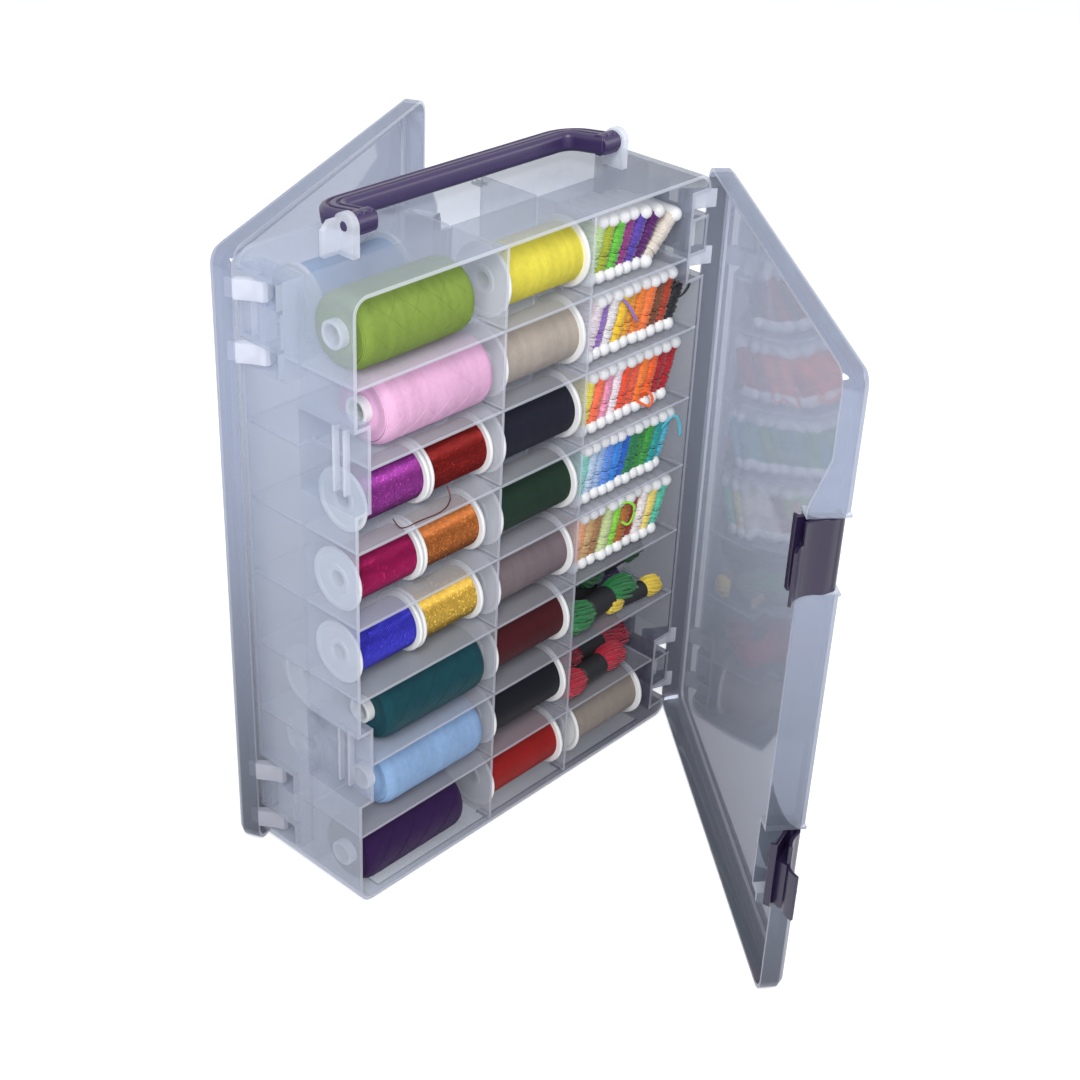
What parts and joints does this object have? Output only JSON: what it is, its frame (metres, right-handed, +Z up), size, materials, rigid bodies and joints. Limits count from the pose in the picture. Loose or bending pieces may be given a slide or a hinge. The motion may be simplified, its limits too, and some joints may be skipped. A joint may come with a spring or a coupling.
{
  "type": "embroidery thread box",
  "caption": "Double-sided translucent carrying case with a hinged tray lid on each face, swing latches, a folding handle and cells filled with thread.",
  "frame": {"origin": "centre of the foot's lower face, which the case stands on", "axes": "+Z up, +X to the right seen from the front face, +Y to the rear"},
  "size_m": [0.2725, 0.4003, 0.362],
  "materials": {
    "clear_plastic": "frosted translucent polypropylene",
    "hinge_pin": "moulded",
    "purple_plastic": "satin moulded",
    "white_plastic": "moulded",
    "barrel_thread": "wound polyester thread",
    "metallic_thread": "wound metallic thread",
    "spool_thread": "wound cotton thread",
    "floss_row_1": "wound cotton floss",
    "floss_row_2": "wound cotton floss",
    "floss_row_3": "wound cotton floss",
    "floss_row_4": "wound cotton floss",
    "floss_row_5": "wound cotton floss",
    "skein_floss": "cotton skeins",
    "paper_band": "matt paper band"
  },
  "bodies": {
    "core": {"core_shell": "clear_plastic", "front_shelf_1": "clear_plastic", "front_shelf_2": "clear_plastic", "front_shelf_3": "clear_plastic", "front_shelf_4": "clear_plastic", "front_shelf_5": "clear_plastic", "front_shelf_6": "clear_plastic", "front_shelf_7": "clear_plastic", "rear_shelf_1": "clear_plastic", "rear_shelf_2": "clear_plastic", "rear_shelf_3": "clear_plastic", "rear_shelf_4": "clear_plastic", "rear_shelf_5": "clear_plastic", "rear_shelf_6": "clear_plastic", "rear_shelf_7": "clear_plastic", "front_divider_left": "clear_plastic", "front_divider_right": "clear_plastic", "rear_divider_left": "clear_plastic", "rear_divider_right": "clear_plastic", "front_hinge_pins": "hinge_pin", "rear_hinge_pins": "hinge_pin", "barrel_spool_tubes": "white_plastic", "barrel_spool_thread": "barrel_thread", "small_spools": "white_plastic", "small_spool_thread": "metallic_thread", "large_spools": "white_plastic", "large_spool_thread": "spool_thread", "floss_bobbins_1": "floss_row_1", "floss_bobbins_2": "floss_row_2", "floss_bobbins_3": "floss_row_3", "floss_bobbins_4": "floss_row_4", "floss_bobbins_5": "floss_row_5", "floss_skeins": "skein_floss", "skein_bands": "paper_band"},
    "front_lid_body": {"front_lid": "clear_plastic"},
    "rear_lid_body": {"rear_lid": "clear_plastic"},
    "front_upper_latch_body": {"front_latch_upper": "purple_plastic"},
    "front_lower_latch_body": {"front_latch_lower": "purple_plastic"},
    "rear_upper_latch_body": {"rear_latch_upper": "purple_plastic"},
    "rear_lower_latch_body": {"rear_latch_lower": "purple_plastic"},
    "handle_body": {"carry_handle": "purple_plastic"}
  },
  "joints": [
    {"name": "front_lid_hinge", "type": "hinge", "parent": "core", "child": "front_lid_body", "pos_m": [0.119, -0.028, 0.1715], "axis": [0, 0, 1], "range_deg": [-50.7, 74.3]},
    {"name": "rear_lid_hinge", "type": "hinge", "parent": "core", "child": "rear_lid_body", "pos_m": [-0.119, 0.028, 0.1715], "axis": [0, 0, 1], "range_deg": [-25.7, 99.3]},
    {"name": "front_upper_latch_swing", "type": "hinge", "parent": "front_lid_body", "child": "front_upper_latch_body", "pos_m": [-0.01951, -0.22659, 0.2555], "axis": [0, 0, 1], "range_deg": [-6, 84]},
    {"name": "front_lower_latch_swing", "type": "hinge", "parent": "front_lid_body", "child": "front_lower_latch_body", "pos_m": [-0.01951, -0.22659, 0.0875], "axis": [0, 0, 1], "range_deg": [-55, 35]},
    {"name": "rear_upper_latch_swing", "type": "hinge", "parent": "rear_lid_body", "child": "rear_upper_latch_body", "pos_m": [0.09045, 0.14944, 0.2555], "axis": [0, 0, 1], "range_deg": [-6, 84]},
    {"name": "rear_lower_latch_swing", "type": "hinge", "parent": "rear_lid_body", "child": "rear_lower_latch_body", "pos_m": [0.09045, 0.14944, 0.0875], "axis": [0, 0, 1], "range_deg": [-6, 84]},
    {"name": "carry_handle_swing", "type": "hinge", "parent": "core", "child": "handle_body", "pos_m": [0, 0, 0.3555], "axis": [1, 0, 0], "range_deg": [0, 170]}
  ]
}
